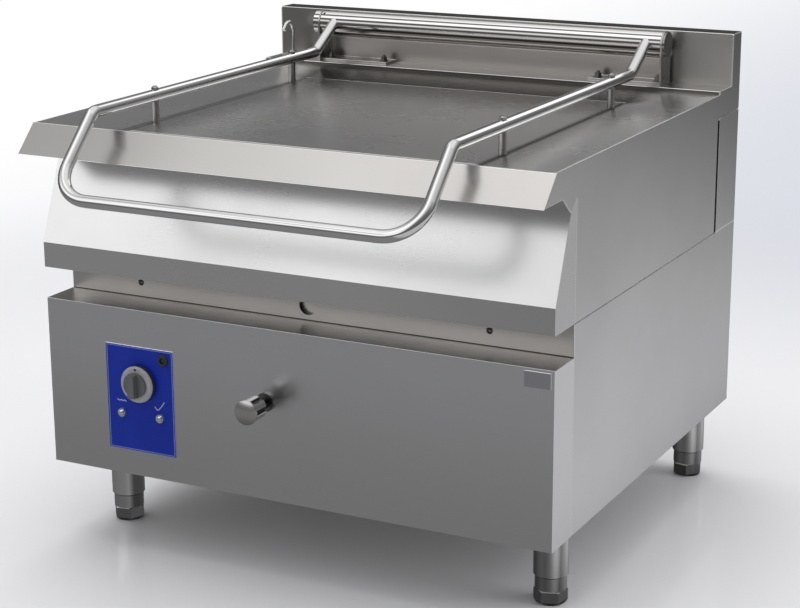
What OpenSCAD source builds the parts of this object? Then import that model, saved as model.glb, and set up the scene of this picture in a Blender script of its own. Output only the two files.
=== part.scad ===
/* [Cabinet] */
// Overall width of the unit
body_w = 1000; // [900:10:1200]
// Depth of the unit from the lower front panel to its back
body_d = 900; // [860:10:1000]
// Height of the cabinet's underside above the floor
leg_h = 151; // [130:1:200]
// Height of the lower front panel
panel_h = 313.5; // [290:0.5:360]
// Depth of the lower front box, which stands in front of the cabinet
box_d = 79.5; // [70:0.5:90]
// Height of the recessed sill above the front panel
sill_h = 57; // [54:0.5:66]
// Gap along the split between the fixed base and the tilting casing
split_gap = 1; // [1:0.25:4]
// Thickness of the stainless sheet
sheet_t = 2; // [1.2:0.1:3]
// Depth of the fixed rear column
column_d = 114; // [100:1:140]
// Width of the slot in front of the rear column
slot_w = 9.5; // [5:0.5:12]
// Gap above the rear column
column_gap = 1; // [1:0.25:4]
// How far the rear block of the pan reaches in front of the column
block_over = 2; // [1:0.5:4]
// Height of the web that closes the slot below the rear block
slot_web = 5; // [3:0.5:8]
// Side of the square tube of the frame
frame_tube = 30; // [20:1:40]
// Wall of the square tube of the frame
frame_wall = 3; // [2:0.5:5]

/* [Pan casing] */
// Height from the casing's lower edge to the rim of the pan
casing_h = 266; // [250:1:300]
// How far the casing's front band stands out past the front panel
band_out = 2; // [0:0.5:6]
// Height of the vertical band along the casing's lower edge
band_h = 46; // [40:1:60]
// How far the belly leans back from the band to its top
belly_back = 56.3; // [40:0.1:62]
// Height of the leaning belly
belly_h = 143; // [120:1:150]
// Height of the short slope above the belly
notch_h = 28; // [20:1:34]
// How far the short slope comes forward again
notch_in = 32.6; // [20:0.1:40]
// How far the rim's front edge stands out past the front panel
rim_out = 10.4; // [4:0.1:20]
// How far the pouring lip reaches in front of the rim's edge
lip_out = 48.2; // [30:0.1:60]
// How far the lip stands out past the casing at each side
lip_side = 2; // [0:0.5:6]
// Step from the rim up to the rear ledge
ledge_step = 6.5; // [3:0.5:12]
// Height of the rear block below the ledge
block_h = 50; // [40:1:60]
// Height of the backsplash above the ledge
splash_h = 100; // [90:1:140]
// Thickness of the backsplash
splash_t = 47; // [35:1:50]

/* [Basin] */
// Width of the pan's top beside the basin, at each side
rim_side = 170; // [150:5:200]
// Depth of the basin inside, front to back
basin_d = 612; // [560:2:620]
// How far the basin's front wall reaches forward of the cabinet's front plane
basin_ahead = 17.5; // [10:0.5:18.5]
// Radius of the basin's upright corners
basin_r = 40; // [25:1:60]
// Radius between the basin's walls and its floor
basin_fillet = 24; // [10:1:24]
// Thickness of the basin's walls
basin_wall = 3; // [2:0.5:4]
// Thickness of the basin's floor
basin_floor_t = 10; // [6:1:12]
// Height of the basin's underside above the casing's lower edge
basin_up = 26; // [25:0.5:32]
// Width of the flat rest round the basin that carries the lid
rest_w = 16; // [10:1:20]
// Drop of the sloping rim down to the lid
rim_drop = 11.5; // [6:0.5:16]
// Thickness of the rest under the lid
rest_t = 3; // [2:0.5:4]
// Diameter of a heating rod
element_d = 8.5; // [6:0.5:10]
// Half the width of a heating rod's loop
element_loop = 22; // [18:1:26]
// Distance of the outer heating loops from the basin's sides
element_edge = 90; // [80:1:110]

/* [Tilting] */
// Gap from the cabinet's front plane forward to the tilt axis
axis_in = 34.5; // [32:0.5:36]
// Height of the tilt axis above the casing's lower edge
axis_up = 22.5; // [22:0.5:24]
// Diameter of the tilt shaft
shaft_d = 24; // [20:1:24]
// Largest tilt of the pan, in degrees
tilt_max = 80; // [60:1:80]
// Distance from the tilt axis back to the lifting screw
lift_arm = 180; // [170:1:190]
// How far the lifting roller starts above the tilt axis
lift_start = 30; // [30:1:40]
// Diameter of the lifting roller
roller_d = 24; // [20:1:24]
// Gap round the roller in its curved slot
roller_gap = 0.4; // [0.3:0.05:0.6]
// Metal left beside the curved slot
cam_margin = 16; // [12:1:16]
// Thickness of the curved-slot plate
cam_t = 10; // [8:0.5:12]
// Distance of the beams under the pan from the cabinet's sides
beam_in = 115; // [110:1:125]
// Width of each beam under the pan
beam_w = 40; // [25:1:45]
// Diameter of the lifting screw
rod_d = 28; // [20:1:32]
// Diameter of the lifting screw's housing
housing_d = 48; // [40:1:54]
// Diameter of the drive's motor
motor_d = 44; // [36:1:50]
// Height of the drive's motor above its gearbox
motor_h = 120; // [90:2:140]
// Distance of the motor's axis from the lifting screw's housing
motor_in = 60; // [50:1:70]
// Height of the gearbox beside the housing's foot
gear_h = 40; // [32:1:46]
// Distance of the trunnion brackets' inner faces from the cabinet's sides
trunnion_in = 60; // [50:1:70]
// Thickness of a trunnion bracket
trunnion_t = 12; // [8:1:16]

/* [Lid] */
// Thickness of the lid's sheet
lid_t = 2; // [1.5:0.1:3]
// Gap round the lid in its seat
lid_gap = 2.5; // [2:0.5:5]
// Depth of the stiffening rim under the lid
lid_skirt = 18; // [10:1:24]
// Distance of the lid frame's side tubes from the cabinet's sides
frame_in = 158; // [155:0.5:180]
// Diameter of the lid frame's tube
tube_d = 22; // [18:1:24]
// Height of the frame's side runs above the rim
run_up = 37; // [34:0.5:50]
// How far the side runs reach past the front panel before they bend down
run_out = 52; // [44:1:70]
// How far the front bar stands out past the front panel
bar_out = 175; // [160:1:200]
// How far the front bar hangs below the side runs
bar_drop = 125; // [110:1:140]
// Gap from the rear block forward to the rear bends of the frame
bend_in = 64; // [50:1:80]
// Bend radius of the frame's lower front corners
corner_r = 66; // [50:1:110]
// Bend radius of the frame's other bends
bend_r = 22; // [20:1:45]
// Distance of the front posts from the front panel's plane
post_front = 138.5; // [120:1:160]
// Distance between the front and rear posts
post_pitch = 485; // [440:5:500]
// Diameter of a lid post
post_d = 14; // [12:0.5:16]
// Diameter of the post's stud through the frame's tube
stud_d = 9; // [8:0.5:10]
// Height of the stud's round head above the tube
head_h = 6; // [3:0.5:8]

/* [Lid hinge] */
// Distance of the hinge axis behind the front edge of the rear block
hinge_back = 34; // [32:0.5:36]
// Height of the hinge axis above the ledge
hinge_up = 77.5; // [70:0.5:90]
// Diameter of the hinge tube
hinge_d = 49; // [44:1:52]
// Wall of the hinge tube
hinge_wall = 3; // [2:0.5:5]
// Distance of the hinge brackets' outer faces from the cabinet's sides
bracket_in = 123; // [110:1:130]
// Thickness of a hinge bracket
bracket_t = 4; // [3:0.5:8]
// Radius of the round top of a hinge bracket
bracket_r = 25.5; // [25:0.5:31]
// Diameter of the hinge pins
pin_d = 16; // [12:1:18]
// Running clearance of shafts and pins in their bores, on the radius
run_fit = 0.05; // [0.02:0.01:0.1]
// Gap between pieces that move past each other
move_gap = 0.4; // [0.3:0.1:0.8]
// Length of the round cap outside the left hinge bracket
hinge_cap = 12; // [6:1:16]
// Length of the round cap outside the right hinge bracket
end_cap = 4; // [2:0.5:8]
// Diameter of the grub screw's hole near the hinge tube's left end
grub_d = 5; // [4:0.5:6]
// Height of the upright plate between the hinge brackets
plate_up = 46; // [40:1:50]
// Width of each foot of the hinge's upright plate
pad_w = 150; // [130:2:180]
// Depth of each foot of the hinge's upright plate
pad_d = 46; // [44:1:50]
// Thickness of the hinge's upright plate and its feet
pad_t = 5; // [3:0.5:6]

/* [Controls] */
// Width of the blue control plate
control_w = 144; // [130:1:160]
// Height of the blue control plate
control_h = 199; // [190:1:220]
// Distance of the control plate's centre from the left side
control_x = 197.5; // [150:0.5:240]
// Height of the control plate's centre above the panel's lower edge
control_z = 146.5; // [130:0.5:160]
// Thickness of the control plate
control_t = 1.5; // [1:0.1:2]
// Diameter of the thermostat knob
knob_d = 68; // [55:1:70]
// Height of the knob above the control plate's centre
knob_z = 31.8; // [25:0.1:40]
// Diameter of the knob's spindle
spindle_d = 8; // [6:0.5:10]
// Distance of the two push buttons from the control plate's centre
button_x = 41; // [38:0.5:50]
// Drop of the two push buttons below the control plate's centre
button_z = 29; // [24:0.5:36]
// Diameter of a push button
button_d = 11; // [9:0.5:12]
// Travel of a push button
button_travel = 3; // [2:0.5:4]
// Diameter of the ring round a push button
bezel_d = 18; // [16:0.5:20]
// Distance of the reset button beside the control plate's centre
reset_x = 51.3; // [45:0.1:55]
// Height of the reset button above the control plate's centre
reset_z = 80.6; // [70:0.1:82]
// Diameter of the ring round the reset button
reset_d = 22; // [20:0.5:24]
// Distance of the water valve from the left side
valve_x = 460; // [420:0.2:520]
// Height of the water valve above the panel's lower edge
valve_z = 182; // [170:1:210]
// How far the valve's knob stands out
valve_out = 74; // [66:1:84]
// Diameter of the valve's knob
valve_d = 44; // [40:1:52]
// Width of the bare badge plate
badge_w = 48; // [40:1:56]
// Height of the bare badge plate
badge_h = 28; // [22:1:32]

/* [Sill] */
// Diameter of the round cup in the sill
sill_hole_d = 33; // [26:1:36]
// Height of the cup's middle above the front panel
sill_hole_z = 26; // [20:0.5:34]
// Depth of the cup behind the sill's front
sill_cup = 8; // [5:0.5:12]
// Half the distance between the two sill screws
screw_x = 348; // [320:1:380]
// Diameter of a sill screw's head
screw_d = 12; // [9:0.5:14]

/* [Legs] */
// Distance of the legs from the sides
leg_x = 60.5; // [52:0.5:80]
// Distance of the front legs from the front panel
leg_front = 141.3; // [130:0.1:170]
// Distance of the rear legs from the back
leg_rear = 53; // [50:1:80]
// Diameter of a leg's upper tube
sleeve_d = 62; // [50:1:66]
// Diameter of a foot's shoulder
foot_d = 56; // [44:1:60]
// Height of a foot's shoulder
shoulder_h = 27; // [20:1:32]
// Height of the hexagon under a foot
hex_h = 26; // [20:1:30]
// Size of the hexagon across its corners
hex_d = 60; // [54:1:64]
// Diameter of a foot's threaded stem
stem_d = 20; // [16:1:24]
// How far a foot can be screwed out
foot_travel = 40; // [20:5:50]

/* [Back] */
// Width of the electric box on the cabinet's floor
power_w = 240; // [200:5:280]
// Depth of the electric box
power_d = 130; // [100:5:150]
// Height of the electric box
power_h = 180; // [140:5:200]
// Distance of the electric box from the left side
power_in = 120; // [100:5:160]
// Distance of the electric box behind the lower front box
power_back = 60; // [45:1:80]
// Distance of the water inlet and the cable gland from the sides
inlet_in = 140; // [120:2:180]
// Diameter of the water inlet's thread
inlet_d = 21; // [18:0.5:26]
// Diameter of a cable gland
gland_d = 34; // [28:1:40]

/* [Spout] */
// Distance of the spout from the left side
spout_x = 49; // [40:1:60]
// Diameter of the spout's pipe
spout_d = 9; // [7:0.5:11]
// Height of the spout's upright part above the ledge
spout_up = 58; // [50:1:70]
// Bend radius of the spout
spout_r = 17; // [14:1:22]
// Diameter of the spout's foot
spout_foot_d = 24; // [20:1:30]

/* [Hidden] */
$fn = 64;

half_w = body_w / 2;
inner_x = half_w - sheet_t;
basin_w = body_w - 2 * rim_side;
basin_front = box_d - basin_ahead;
beam_x = half_w - beam_in;
trunnion_x = half_w - trunnion_in;
frame_x = half_w - frame_in;
bracket_x = half_w - bracket_in;
panel_top = leg_h + panel_h;
sill_top = panel_top + sill_h;
pan_z = sill_top + split_gap;
rim_z = pan_z + casing_h;
ledge_z = rim_z + ledge_step;
block_z = ledge_z - block_h;
column_top = block_z - column_gap;
column_y = body_d - column_d;
casing_y = column_y - block_over;
slot_y = column_y - slot_w;
frame_top = sill_top - 6;
splash_y = body_d - splash_t;
splash_top = ledge_z + splash_h;
centre_y = (body_d - bar_out - tube_d / 2) / 2;

band_y = -band_out;
belly_z = pan_z + band_h;
notch_y = band_y + belly_back;
notch_z = belly_z + belly_h;
lip_y = -rim_out - lip_out;
lip_z = notch_z + notch_h;
lip_root_y = notch_y - notch_in;
lip_hem = 3;
lip_t = sheet_t * 1.2;
lip_inner_low = [lip_y + lip_hem + lip_t, lip_z + lip_t];
lip_inner_top = [-rim_out + sheet_t, rim_z - lip_t];

axis_y = box_d - axis_in;
axis_z = pan_z + axis_up;
basin_z = pan_z + basin_up;
rim_land = 1;
rest_z = rim_z - rim_drop - lid_t;
lid_z = rest_z + move_gap;
seat_x = basin_w / 2 + rest_w;
seat_front = basin_front - rest_w;
seat_back = basin_front + basin_d + rest_w;
beam_z = basin_z - beam_h();
hinge_y = casing_y + hinge_back;
hinge_z = ledge_z + hinge_up;
run_z = rim_z + run_up;
bar_z = run_z - bar_drop;
bend_y = casing_y - bend_in;
lift_rate = lift_arm * PI / 180;
elbow_lap = 0.5;
elbow_step = 0.05;
rod_x = beam_x + cam_t + housing_d / 2 + 8;
roller_z = axis_z + lift_start;
washer_t = 2.4;
control_cx = control_x - half_w;
control_cz = leg_h + control_z;
valve_cx = valve_x - half_w;
valve_cz = leg_h + valve_z;
leg_places = [
  [-half_w + leg_x, leg_front], [half_w - leg_x, leg_front],
  [-half_w + leg_x, body_d - leg_rear], [half_w - leg_x, body_d - leg_rear]
];
steel = [0.74, 0.74, 0.73];
dark_steel = [0.5, 0.5, 0.5];
chrome = [0.86, 0.87, 0.88];

// Height of the beams that fit between the casing's lower edge and the basin
function beam_h() = basin_up - 4;
function unit(v) = v / norm(v);
// Place of the roller's centre in the pan when the pan is tilted by t degrees
function cam_point(t) = let (h = lift_rate * t + lift_start) [
  axis_y + lift_arm * cos(t) + h * sin(t),
  axis_z - lift_arm * sin(t) + h * cos(t)
];

module placed() {
  translate([0, -centre_y, 0]) children();
}

module block(x0, x1, y0, y1, z0, z1) {
  translate([x0, y0, z0]) cube([x1 - x0, y1 - y0, z1 - z0]);
}

// A flat plate in an upright plane across the width, from an outline in y and z
module side_plate(x0, t, outline) {
  translate([x0, 0, 0]) rotate([90, 0, 90]) linear_extrude(height = t) polygon(outline);
}

// A cylinder along the width
module cross_rod(x0, x1, y, z, r) {
  translate([x0, y, z]) rotate([0, 90, 0]) cylinder(r = r, h = x1 - x0);
}

// A cylinder along the depth, drawn from its front end
module deep_rod(x, y0, y1, z, r) {
  translate([x, y1, z]) rotate([90, 0, 0]) cylinder(r = r, h = y1 - y0);
}

module both_sides() {
  children();
  mirror([1, 0, 0]) children();
}

module rounded_slab(x0, x1, y0, y1, z0, z1, r) {
  translate([0, 0, z0]) linear_extrude(height = z1 - z0) {
    translate([x0 + r, y0]) square([x1 - x0 - 2 * r, y1 - y0]);
    translate([x0, y0 + r]) square([x1 - x0, y1 - y0 - 2 * r]);
    for (x = [x0 + r, x1 - r]) for (y = [y0 + r, y1 - r]) translate([x, y]) circle(r = r);
  }
}

// A straight tube stretch between two points
module rod(a, b, r) {
  d = b - a;
  translate(a) rotate([0, acos(d.z / norm(d)), atan2(d.y, d.x)]) cylinder(r = r, h = norm(d));
}

// The angle that a path turns through at its middle point
function turn(a, v, b) = acos(unit(v - a) * unit(b - v));
function cut(a, v, b, r) = r * tan(turn(a, v, b) / 2);

// A bend of a round tube at the corner v of a path, with the radius r
module elbow(a, v, b, r, tube_r) {
  t = turn(a, v, b);
  lap = elbow_lap / r * 180 / PI;
  d = unit(v - a);
  centre = v + unit(unit(a - v) + unit(b - v)) * r / cos(t / 2);
  u = unit(v - d * cut(a, v, b, r) - centre);
  n = cross(u, d);
  multmatrix([
    [u.x, d.x, n.x, centre.x],
    [u.y, d.y, n.y, centre.y],
    [u.z, d.z, n.z, centre.z],
    [0, 0, 0, 1]
  ]) rotate([0, 0, -lap]) rotate_extrude(angle = t + 2 * lap) {
    translate([r, 0]) circle(r = tube_r - elbow_step);
  }
}

// A bent round tube along a path, with a bend radius for each inner point
module bent_tube(path, radii, tube_r) {
  last = len(path) - 1;
  for (i = [0:last - 1]) {
    d = unit(path[i + 1] - path[i]);
    from = i == 0 ? 0 : cut(path[i - 1], path[i], path[i + 1], radii[i - 1]);
    to = i == last - 1 ? 0 : cut(path[i], path[i + 1], path[i + 2], radii[i]);
    rod(path[i] + d * from, path[i + 1] - d * to, tube_r);
  }
  for (i = [1:last - 1]) elbow(path[i - 1], path[i], path[i + 1], radii[i - 1], tube_r);
}

module base_frame() color(dark_steel) placed() {
  low = leg_h + sheet_t;
  x1 = inner_x - 1;
  y0 = box_d + sheet_t + 1;
  y1 = body_d - sheet_t - 1;
  rear_top = column_top - sheet_t - 1;
  lift_y = axis_y + lift_arm - frame_tube / 2;
  difference() {
    frame_bars(x1, y0, y1, lift_y, low, low + frame_tube, frame_top - frame_tube, frame_top, rear_top, 0);
    frame_bars(
      x1 - frame_wall, y0 + frame_wall, y1 - frame_wall, lift_y + frame_wall, low + frame_wall,
      low + frame_tube - frame_wall, frame_top - frame_tube + frame_wall, frame_top - frame_wall,
      rear_top, frame_wall
    );
  }
}

// The frame's bars, or with a wall the space inside them, which is open at the tops of the posts
module frame_bars(x1, y0, y1, lift_y, low, low_top, rail, rail_top, rear_top, wall) {
  w = frame_tube - 2 * wall;
  opened = wall > 0 ? wall + 1 : 0;
  for (y = [y0, y1 - w, lift_y]) block(-x1, x1, y, y + w, low, low_top);
  both_sides() {
    block(x1 - w, x1, y0, y1, low, low_top);
    block(x1 - w, x1, y0, y1, rail, rail_top);
    block(x1 - w, x1, y0, y0 + w, low, rail_top + opened);
    block(x1 - w, x1, y1 - w, y1, low, rear_top + opened);
  }
}

module base_floor() color(steel) placed() {
  block(-inner_x, inner_x, box_d, body_d - sheet_t, leg_h, leg_h + sheet_t);
}

module side_panel(x0) {
  side_plate(x0, sheet_t, [
    [box_d, leg_h], [body_d, leg_h], [body_d, column_top], [column_y, column_top],
    [column_y, sill_top], [box_d, sill_top]
  ]);
}

module side_panel_left() color(steel) placed() side_panel(-half_w);

module side_panel_right() color(steel) placed() side_panel(inner_x);

module rear_panel() color(steel) placed() {
  difference() {
    block(-inner_x, inner_x, body_d - sheet_t, body_d, leg_h, column_top);
    for (x = [-180:30:180]) for (z = [leg_h + 90, leg_h + 190]) {
      block(x - 4, x + 4, body_d - sheet_t - 1, body_d + 1, z, z + 60);
    }
    for (x = [-half_w + inlet_in, half_w - inlet_in]) {
      deep_rod(x, body_d - sheet_t - 1, body_d + 1, leg_h + 60, inlet_d / 2 + 1);
    }
  }
}

module column_cover() color(steel) placed() {
  block(-inner_x, inner_x, column_y, column_y + sheet_t, frame_top, column_top);
  block(-inner_x, inner_x, column_y + sheet_t, body_d - sheet_t, column_top - sheet_t, column_top);
}

module front_panel() color(steel) placed() {
  difference() {
    block(-half_w, half_w, 0, box_d, leg_h, panel_top);
    block(-inner_x, inner_x, sheet_t, box_d + 1, leg_h + sheet_t, panel_top - sheet_t);
    deep_rod(control_cx, -1, sheet_t + 1, control_cz + knob_z, spindle_d);
    for (x = [-button_x, button_x]) {
      deep_rod(control_cx + x, -1, sheet_t + 1, control_cz - button_z, button_d / 2 + 1);
    }
    deep_rod(control_cx + reset_x, -1, sheet_t + 1, control_cz + reset_z, button_d / 2 + 1);
    deep_rod(valve_cx, -1, sheet_t + 1, valve_cz, spindle_d);
  }
}

module sill_strip() color(steel) placed() {
  z = panel_top + sill_hole_z;
  difference() {
    union() {
      block(-inner_x, inner_x, box_d, box_d + sheet_t, panel_top, sill_top);
      deep_rod(0, box_d, box_d + sill_cup + sheet_t, z, sill_hole_d / 2 + sheet_t);
    }
    deep_rod(0, box_d - 1, box_d + sill_cup, z, sill_hole_d / 2);
  }
}

module sill_screws() color(chrome) placed() {
  for (x = [-screw_x, screw_x]) translate([x, box_d, panel_top + sill_h * 0.47]) rotate([90, 0, 0]) {
    difference() {
      rotate_extrude() intersection() {
        translate([0, -screw_d * 0.3]) circle(r = screw_d * 0.6);
        square([screw_d / 2, screw_d * 0.35]);
      }
      translate([0, 0, screw_d * 0.12]) cylinder(d = screw_d * 0.4, h = screw_d, $fn = 6);
    }
  }
}

module control_plate() color([0.06, 0.1, 0.55]) placed() {
  difference() {
    block(
      control_cx - control_w / 2, control_cx + control_w / 2, -control_t, 0,
      control_cz - control_h / 2, control_cz + control_h / 2
    );
    deep_rod(control_cx, -control_t - 1, 1, control_cz + knob_z, spindle_d);
    for (x = [-button_x, button_x]) {
      deep_rod(control_cx + x, -control_t - 1, 1, control_cz - button_z, button_d / 2 + 1);
    }
    deep_rod(control_cx + reset_x, -control_t - 1, 1, control_cz + reset_z, button_d / 2 + 1);
  }
}

module badge_plate() color(chrome) placed() {
  block(
    half_w - 6 - badge_w, half_w - 6, -1, 0,
    panel_top - 5 - badge_h, panel_top - 5
  );
}

// The thermostat's body behind the panel, with the bush that carries the knob's spindle
module thermostat() color([0.85, 0.85, 0.8]) placed() {
  z = control_cz + knob_z;
  difference() {
    union() {
      block(control_cx - 24, control_cx + 24, sheet_t + 4, sheet_t + 44, z - 24, z + 24);
      deep_rod(control_cx, -control_t - 2, sheet_t + 4, z, spindle_d / 2 + 3);
      block(control_cx - 30, control_cx + 30, sheet_t, sheet_t + 4, z - 16, z + 16);
    }
    deep_rod(control_cx, -control_t - 3, sheet_t + 30, z, spindle_d / 2 + run_fit);
  }
}

module knob_spindle() color(chrome) placed() {
  deep_rod(control_cx, -control_t - 16, sheet_t + 29, control_cz + knob_z, spindle_d / 2);
}

module knob_skirt() color(chrome) placed() {
  z = control_cz + knob_z;
  translate([control_cx, -control_t - 2 - move_gap, z]) rotate([90, 0, 0]) difference() {
    rotate_extrude() polygon([
      [0, 0], [knob_d / 2, 0], [knob_d / 2, 8], [knob_d / 2 - 3, 12], [0, 12]
    ]);
    translate([0, 0, -1]) cylinder(d = spindle_d, h = 14);
  }
}

module knob_grip() color([0.16, 0.17, 0.18]) placed() {
  z = control_cz + knob_z;
  grip_r = knob_d * 0.34;
  translate([control_cx, -control_t - 14 - move_gap, z]) rotate([90, 0, 0]) difference() {
    union() {
      cylinder(r = grip_r, h = 5);
      intersection() {
        cylinder(r1 = grip_r, r2 = grip_r * 0.92, h = 17);
        translate([-grip_r * 0.3, -grip_r, 0]) cube([grip_r * 0.6, grip_r * 2, 17]);
      }
    }
    translate([0, 0, -1]) cylinder(d = spindle_d, h = 3 - move_gap);
  }
}

module button_ring(x, z, ring_d, hole_d) {
  translate([x, -control_t, z]) rotate([90, 0, 0]) difference() {
    union() {
      cylinder(d1 = ring_d, d2 = ring_d * 0.86, h = 4);
      translate([0, 0, -control_t - sheet_t]) cylinder(d = hole_d + 2, h = control_t + sheet_t + 1);
    }
    translate([0, 0, -control_t - sheet_t - 1]) cylinder(d = hole_d, h = 10);
  }
}

module button_bezels() color(chrome) placed() {
  for (x = [-button_x, button_x]) {
    button_ring(control_cx + x, control_cz - button_z, bezel_d, button_d);
  }
}

module push_button(x, z, out) {
  r = button_d / 2 - move_gap;
  translate([x, -control_t, z]) rotate([90, 0, 0]) rotate_extrude() polygon([
    [0, -sheet_t - control_t - 4], [r, -sheet_t - control_t - 4], [r, out - 1], [r - 1, out], [0, out]
  ]);
}

module heat_button() color(chrome) placed() {
  push_button(control_cx - button_x, control_cz - button_z, 8);
}

module tilt_button() color(chrome) placed() {
  push_button(control_cx + button_x, control_cz - button_z, 8);
}

module reset_bezel() color([0.1, 0.1, 0.1]) placed() {
  button_ring(control_cx + reset_x, control_cz + reset_z, reset_d, button_d);
}

module reset_button() color([0.15, 0.15, 0.15]) placed() {
  push_button(control_cx + reset_x, control_cz + reset_z, 1.4);
}

// The contact blocks that the push buttons work on
module switch_blocks() color([0.2, 0.2, 0.22]) placed() {
  behind = sheet_t + control_t + 4;
  for (p = [[-button_x, -button_z], [button_x, -button_z], [reset_x, reset_z]]) {
    x = control_cx + p.x;
    z = control_cz + p.y;
    difference() {
      block(x - 12, x + 12, sheet_t, sheet_t + 34, z - 12, z + 12);
      deep_rod(x, sheet_t - 1, behind + button_travel + 1, z, button_d / 2 + 1);
    }
  }
}

module water_valve() color([0.7, 0.55, 0.25]) placed() {
  difference() {
    union() {
      deep_rod(valve_cx, -6, 0, valve_cz, 17);
      deep_rod(valve_cx, 0, sheet_t, valve_cz, spindle_d);
      deep_rod(valve_cx, sheet_t, sheet_t + 40, valve_cz, 13);
      translate([valve_cx, sheet_t + 28, valve_cz - 34]) cylinder(r = 10, h = 68);
    }
    deep_rod(valve_cx, -7, sheet_t + 22, valve_cz, spindle_d / 2 + run_fit);
  }
}

module valve_spindle() color(chrome) placed() {
  deep_rod(valve_cx, -valve_out + 20, sheet_t + 21, valve_cz, spindle_d / 2);
}

// A lobed hand knob with a domed front cap
module valve_knob() color(chrome) placed() {
  r = valve_d / 2;
  dome_h = r * 0.22;
  cap_z = valve_out - 6 - move_gap - dome_h - 3;
  grip_h = r * 1.5;
  translate([valve_cx, -6 - move_gap, valve_cz]) rotate([90, 0, 0]) {
    difference() {
      union() {
        cylinder(r = spindle_d / 2 + 6, h = cap_z);
        translate([0, 0, cap_z - grip_h]) difference() {
          cylinder(r = r * 0.94, h = grip_h);
          for (a = [0:60:300]) rotate([0, 0, a]) {
            translate([r * 1.04, 0, -1]) cylinder(r = r * 0.27, h = grip_h + 2);
          }
        }
        translate([0, 0, cap_z]) cylinder(r = r, h = 3);
        translate([0, 0, cap_z + 3]) rotate_extrude() intersection() {
          translate([0, -r * 2.2]) circle(r = r * 2.42);
          square([r, dome_h - 0.03]);
        }
      }
      translate([0, 0, -1]) cylinder(d = spindle_d, h = valve_out - 20 - 6 - move_gap + 1);
    }
  }
}

module leg_sleeves() color(steel) placed() {
  for (p = leg_places) translate([p.x, p.y, 0]) difference() {
    translate([0, 0, hex_h + shoulder_h]) cylinder(d = sleeve_d, h = leg_h - hex_h - shoulder_h);
    translate([0, 0, hex_h + shoulder_h - 1]) cylinder(d = stem_d + 2 * run_fit, h = leg_h - hex_h - shoulder_h - 4);
  }
}

// A foot screwed to an angle, with a hexagon whose corners are turned off at both ends
module foot(p, angle) {
  corner = hex_d / 2;
  placed() translate([p.x, p.y, 0]) {
    intersection() {
      rotate([0, 0, angle]) cylinder(r = corner, h = hex_h, $fn = 6);
      rotate_extrude() polygon([
        [0, 0], [corner - 5, 0], [corner + 1, 6], [corner + 1, hex_h - 4], [corner - 3, hex_h], [0, hex_h]
      ]);
    }
    translate([0, 0, hex_h]) cylinder(d = foot_d, h = shoulder_h);
    translate([0, 0, hex_h + shoulder_h]) cylinder(d = stem_d, h = leg_h - hex_h - shoulder_h - 10);
  }
}

module foot_front_left() color([0.35, 0.35, 0.35]) foot(leg_places[0], 10);

module foot_front_right() color([0.35, 0.35, 0.35]) foot(leg_places[1], 20);

module foot_rear_left() color([0.35, 0.35, 0.35]) foot(leg_places[2], 0);

module foot_rear_right() color([0.35, 0.35, 0.35]) foot(leg_places[3], 45);

// An ear that carries the tilt shaft, rising from the frame's upper side rail
module trunnion_brackets() color(dark_steel) placed() {
  ear_r = shaft_d / 2 + 14;
  foot_y = box_d + sheet_t + frame_tube + 1;
  both_sides() difference() {
    union() {
      cross_rod(trunnion_x, trunnion_x + trunnion_t, axis_y, axis_z, ear_r);
      side_plate(trunnion_x, trunnion_t, [
        [axis_y + 4, axis_z + ear_r * 0.7], [foot_y + 90, frame_top + 8], [foot_y + 90, frame_top - 60],
        [foot_y, frame_top - 60], [box_d + sheet_t + 3, frame_top - 20],
        [box_d + sheet_t + 3, sill_top + 1], [axis_y - 2, axis_z - ear_r * 0.7]
      ]);
      block(
        trunnion_x + trunnion_t, inner_x - 1 - frame_tube, foot_y + 5, foot_y + 90,
        frame_top - 30, frame_top - 22
      );
    }
    cross_rod(trunnion_x - 1, trunnion_x + trunnion_t + 1, axis_y, axis_z, shaft_d / 2 + 5);
  }
}

module trunnion_bushes() color([0.72, 0.52, 0.2]) placed() {
  both_sides() difference() {
    cross_rod(trunnion_x, trunnion_x + trunnion_t, axis_y, axis_z, shaft_d / 2 + 5);
    cross_rod(trunnion_x - 1, trunnion_x + trunnion_t + 1, axis_y, axis_z, shaft_d / 2 + run_fit);
  }
}

module actuator_housing() color([0.3, 0.32, 0.34]) placed() {
  y = axis_y + lift_arm;
  low = leg_h + sheet_t + frame_tube;
  top = sill_top - 20;
  translate([rod_x, y, 0]) difference() {
    union() {
      translate([0, 0, low]) cylinder(d = housing_d, h = top - low);
      translate([0, 0, low]) cylinder(d = housing_d + 16, h = 12);
      translate([0, 0, top - 14]) cylinder(d = housing_d + 4, h = 14);
    }
    translate([0, 0, low + 10]) cylinder(d = rod_d + 2 * run_fit, h = top - low);
  }
}

// The geared motor beside the housing's foot
module actuator_motor() color([0.22, 0.24, 0.27]) placed() {
  y = axis_y + lift_arm;
  low = leg_h + sheet_t + frame_tube;
  gear_x = rod_x - housing_d / 2 - motor_in;
  gear_top = low + 14 + gear_h;
  difference() {
    block(gear_x - motor_d / 2, rod_x + 6, y - 26, y + 26, low + 14, gear_top);
    translate([rod_x, y, low]) cylinder(d = housing_d + 0.02, h = 2 * gear_h);
  }
  translate([gear_x, y, gear_top]) cylinder(d = motor_d, h = motor_h);
  translate([gear_x, y, gear_top + motor_h]) cylinder(d = motor_d - 8, h = 8);
}

module actuator_rod() color(chrome) placed() {
  y = axis_y + lift_arm;
  low = leg_h + sheet_t + frame_tube + 12;
  block_bottom = roller_z - 18;
  washer_x = beam_x + move_gap;
  translate([rod_x, y, low]) cylinder(d = rod_d, h = block_bottom + 4 - low);
  block(beam_x + cam_t + 4, rod_x + 18, y - 16, y + 16, block_bottom, roller_z + 16);
  cross_rod(washer_x, beam_x + cam_t + 4, y, roller_z, roller_d / 4);
  cross_rod(washer_x, washer_x + washer_t, y, roller_z, roller_d / 4 + 2);
}

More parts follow.
